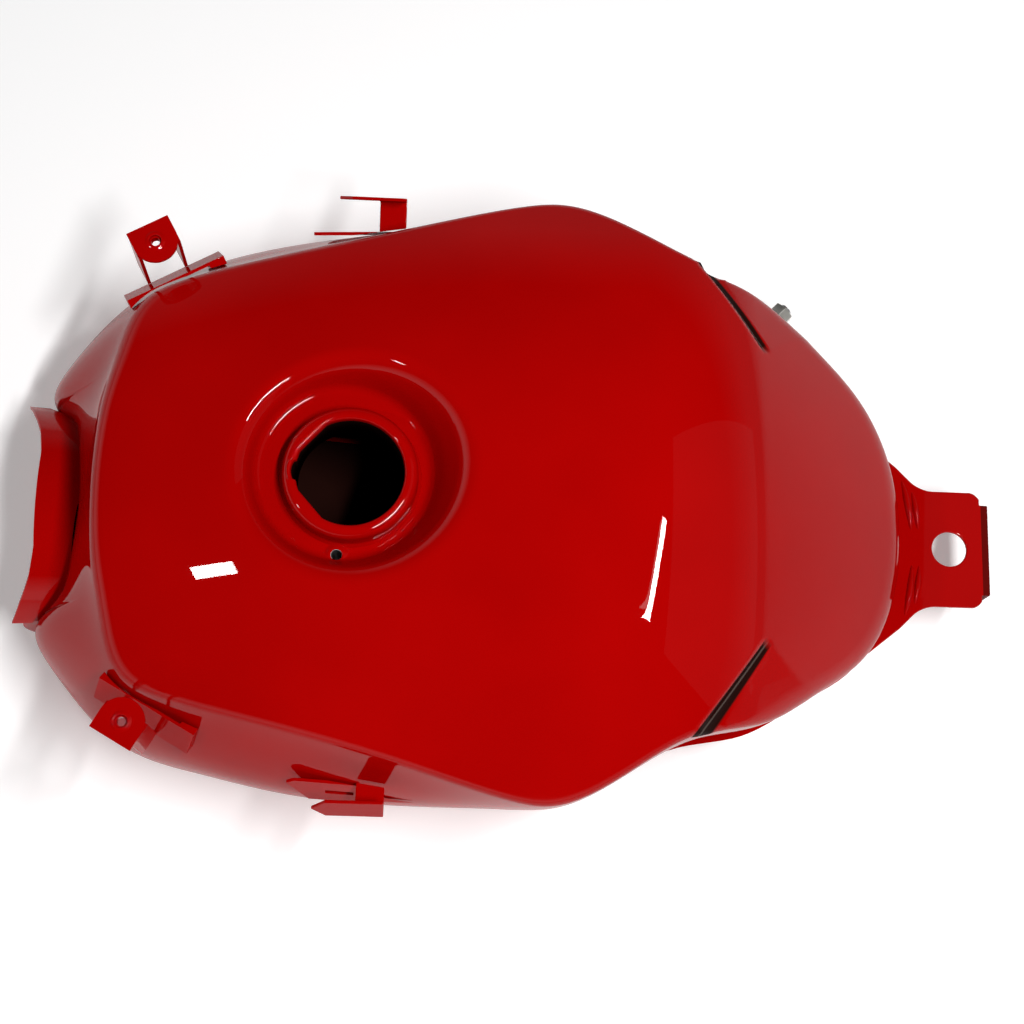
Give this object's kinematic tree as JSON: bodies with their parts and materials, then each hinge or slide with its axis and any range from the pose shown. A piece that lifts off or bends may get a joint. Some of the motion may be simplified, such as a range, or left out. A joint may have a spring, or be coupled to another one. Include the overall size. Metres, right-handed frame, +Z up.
{
  "type": "motorcycle fuel tank",
  "caption": "Pressed-steel motorcycle fuel tank with a frame tunnel, a recessed open filler neck, mounting brackets, a fuel tap and a float level sender.",
  "frame": {"origin": "under the middle of the tank's overall box, on the plane of its lowest edge", "axes": "+X to the front of the motorcycle, +Y to the rider's left, +Z up"},
  "size_m": [0.6004, 0.3664, 0.2301],
  "materials": {
    "red_paint": "high gloss",
    "steel": "plain",
    "zinc": "zinc plated",
    "cast_aluminium": "cast, matt",
    "brass": "plain",
    "strainer_mesh": "fine mesh",
    "rubber": "matt",
    "black_plastic": "matt"
  },
  "bodies": {
    "tank": {"top_shell": "red_paint", "lower_shell": "red_paint", "front_arch_lip": "red_paint", "filler_neck": "red_paint", "recess_drain_tube": "steel", "breather_tube": "steel", "rear_mount_bracket": "red_paint", "cowl_strap_left": "red_paint", "cowl_strap_right": "red_paint", "cowl_bracket_left": "red_paint", "cowl_bracket_right": "red_paint", "cowl_nut_left": "zinc", "cowl_nut_right": "zinc", "hook_base_left": "red_paint", "hook_base_right": "red_paint", "hook_arm_left": "red_paint", "hook_arm_right": "red_paint", "front_guide_left": "red_paint", "front_guide_right": "red_paint", "tap_seat": "steel", "tap_gasket": "rubber", "tap_body": "cast_aluminium", "lever_retainer": "zinc", "retainer_spacers": "zinc", "retainer_screws": "zinc", "outlet_pipe": "steel", "union_nut": "zinc", "tap_standpipe": "brass", "tap_strainer": "strainer_mesh", "tap_screws": "zinc", "sender_seat": "red_paint", "sender_gasket": "rubber", "sender_plate": "zinc", "sender_studs": "zinc", "sender_nuts": "zinc", "sender_stem": "steel", "sender_housing": "black_plastic", "sender_connector": "black_plastic", "float_pivot": "steel"},
    "lever": {"tap_lever": "zinc"},
    "float": {"float_arm": "steel", "sender_float": "black_plastic"}
  },
  "joints": [
    {"name": "tap_lever_turn", "type": "hinge", "parent": "tank", "child": "lever", "pos_m": [-0.112, -0.094, 0.0415], "axis": [0.7193, -0.6947, 0], "range_deg": [0, 180]},
    {"name": "float_swing", "type": "hinge", "parent": "tank", "child": "float", "pos_m": [-0.111, 0.085, 0.1], "axis": [0, -1, 0], "range_deg": [0, 85]}
  ]
}
